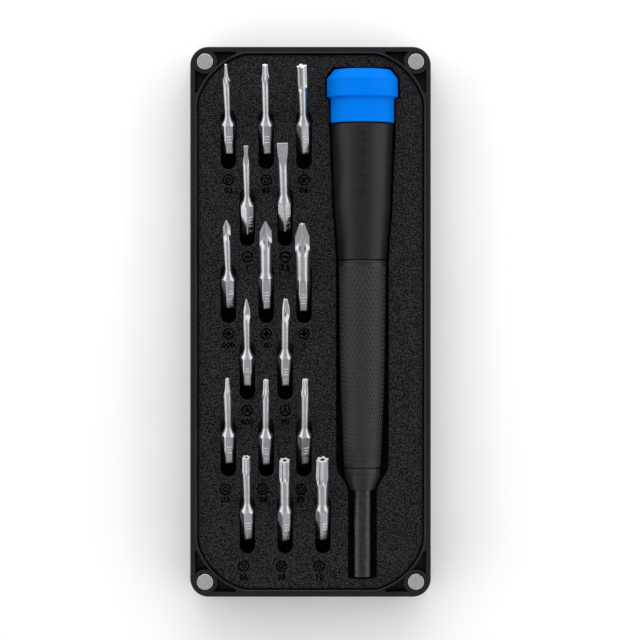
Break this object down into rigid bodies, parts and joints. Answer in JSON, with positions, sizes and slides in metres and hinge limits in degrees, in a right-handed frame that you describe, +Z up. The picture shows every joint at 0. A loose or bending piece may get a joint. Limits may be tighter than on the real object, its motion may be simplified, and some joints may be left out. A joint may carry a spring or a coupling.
{
  "type": "precision screwdriver set",
  "caption": "Precision screwdriver set: tray case with foam insert and corner magnets, hex-shank bits tilted in slots, and a knurled driver with a spinning cap.",
  "frame": {"origin": "centre of the tray's underside, on the surface that the case stands on", "axes": "+Z up out of the open tray, +Y along the case towards the driver's spinning cap and the bit tips, +X towards the side where the driver lies"},
  "size_m": [0.07, 0.16, 0.0261],
  "materials": {
    "case_plastic": "fine-textured black moulded plastic",
    "insert_foam": "dark closed-cell foam with a fine open-cut grain",
    "magnet_metal": "satin nickel plate",
    "bit_steel": "bead-blasted light tool steel",
    "cap_blue": "semi-gloss bright blue plastic",
    "handle_smooth_black": "smooth satin black",
    "handle_knurled_black": "diamond-knurled satin black",
    "shaft_black": "black-coated steel",
    "bushing_plastic": "natural acetal",
    "screw_steel": "plain zinc-plated steel"
  },
  "bodies": {
    "case": {"tray_shell": "case_plastic", "foam_insert": "insert_foam", "corner_magnet_1": "magnet_metal", "corner_magnet_2": "magnet_metal", "corner_magnet_3": "magnet_metal", "corner_magnet_4": "magnet_metal"},
    "driver": {"handle_upper_body": "handle_smooth_black", "knurled_grip": "handle_knurled_black", "nose_collar": "handle_knurled_black", "socket_shaft": "shaft_black", "socket_magnet": "magnet_metal", "swivel_bushing": "bushing_plastic", "retaining_washer": "screw_steel", "swivel_screw": "screw_steel"},
    "cap": {"swivel_cap": "cap_blue"},
    "bit_five_lobe_2": {"bit_five_lobe_2": "bit_steel"},
    "bit_five_lobe_5": {"bit_five_lobe_5": "bit_steel"},
    "bit_standoff_4": {"bit_standoff_4": "bit_steel"},
    "bit_slotted_1": {"bit_slotted_1": "bit_steel"},
    "bit_slotted_2_5": {"bit_slotted_2_5": "bit_steel"},
    "bit_cross_000": {"bit_cross_000": "bit_steel"},
    "bit_cross_0": {"bit_cross_0": "bit_steel"},
    "bit_cross_1": {"bit_cross_1": "bit_steel"},
    "bit_three_point_000": {"bit_three_point_000": "bit_steel"},
    "bit_three_point_0": {"bit_three_point_0": "bit_steel"},
    "bit_star_3": {"bit_star_3": "bit_steel"},
    "bit_star_4": {"bit_star_4": "bit_steel"},
    "bit_star_5": {"bit_star_5": "bit_steel"},
    "bit_security_star_6": {"bit_security_star_6": "bit_steel"},
    "bit_security_star_8": {"bit_security_star_8": "bit_steel"},
    "bit_security_star_10": {"bit_security_star_10": "bit_steel"}
  },
  "joints": [
    {"name": "lift_driver", "type": "slide", "parent": "case", "child": "driver", "axis": [0, 0, 1], "range_m": [0, 0.045]},
    {"name": "spin_cap", "type": "hinge", "parent": "driver", "child": "cap", "pos_m": [0.0151, 0.0737, 0.013], "axis": [0, 1, 0], "continuous": true},
    {"name": "lift_five_lobe_2", "type": "slide", "parent": "case", "child": "bit_five_lobe_2", "axis": [0, 0, 1], "range_m": [0, 0.03]},
    {"name": "lift_five_lobe_5", "type": "slide", "parent": "case", "child": "bit_five_lobe_5", "axis": [0, 0, 1], "range_m": [0, 0.03]},
    {"name": "lift_standoff_4", "type": "slide", "parent": "case", "child": "bit_standoff_4", "axis": [0, 0, 1], "range_m": [0, 0.03]},
    {"name": "lift_slotted_1", "type": "slide", "parent": "case", "child": "bit_slotted_1", "axis": [0, 0, 1], "range_m": [0, 0.03]},
    {"name": "lift_slotted_2_5", "type": "slide", "parent": "case", "child": "bit_slotted_2_5", "axis": [0, 0, 1], "range_m": [0, 0.03]},
    {"name": "lift_cross_000", "type": "slide", "parent": "case", "child": "bit_cross_000", "axis": [0, 0, 1], "range_m": [0, 0.03]},
    {"name": "lift_cross_0", "type": "slide", "parent": "case", "child": "bit_cross_0", "axis": [0, 0, 1], "range_m": [0, 0.03]},
    {"name": "lift_cross_1", "type": "slide", "parent": "case", "child": "bit_cross_1", "axis": [0, 0, 1], "range_m": [0, 0.03]},
    {"name": "lift_three_point_000", "type": "slide", "parent": "case", "child": "bit_three_point_000", "axis": [0, 0, 1], "range_m": [0, 0.03]},
    {"name": "lift_three_point_0", "type": "slide", "parent": "case", "child": "bit_three_point_0", "axis": [0, 0, 1], "range_m": [0, 0.03]},
    {"name": "lift_star_3", "type": "slide", "parent": "case", "child": "bit_star_3", "axis": [0, 0, 1], "range_m": [0, 0.03]},
    {"name": "lift_star_4", "type": "slide", "parent": "case", "child": "bit_star_4", "axis": [0, 0, 1], "range_m": [0, 0.03]},
    {"name": "lift_star_5", "type": "slide", "parent": "case", "child": "bit_star_5", "axis": [0, 0, 1], "range_m": [0, 0.03]},
    {"name": "lift_security_star_6", "type": "slide", "parent": "case", "child": "bit_security_star_6", "axis": [0, 0, 1], "range_m": [0, 0.03]},
    {"name": "lift_security_star_8", "type": "slide", "parent": "case", "child": "bit_security_star_8", "axis": [0, 0, 1], "range_m": [0, 0.03]},
    {"name": "lift_security_star_10", "type": "slide", "parent": "case", "child": "bit_security_star_10", "axis": [0, 0, 1], "range_m": [0, 0.03]}
  ]
}
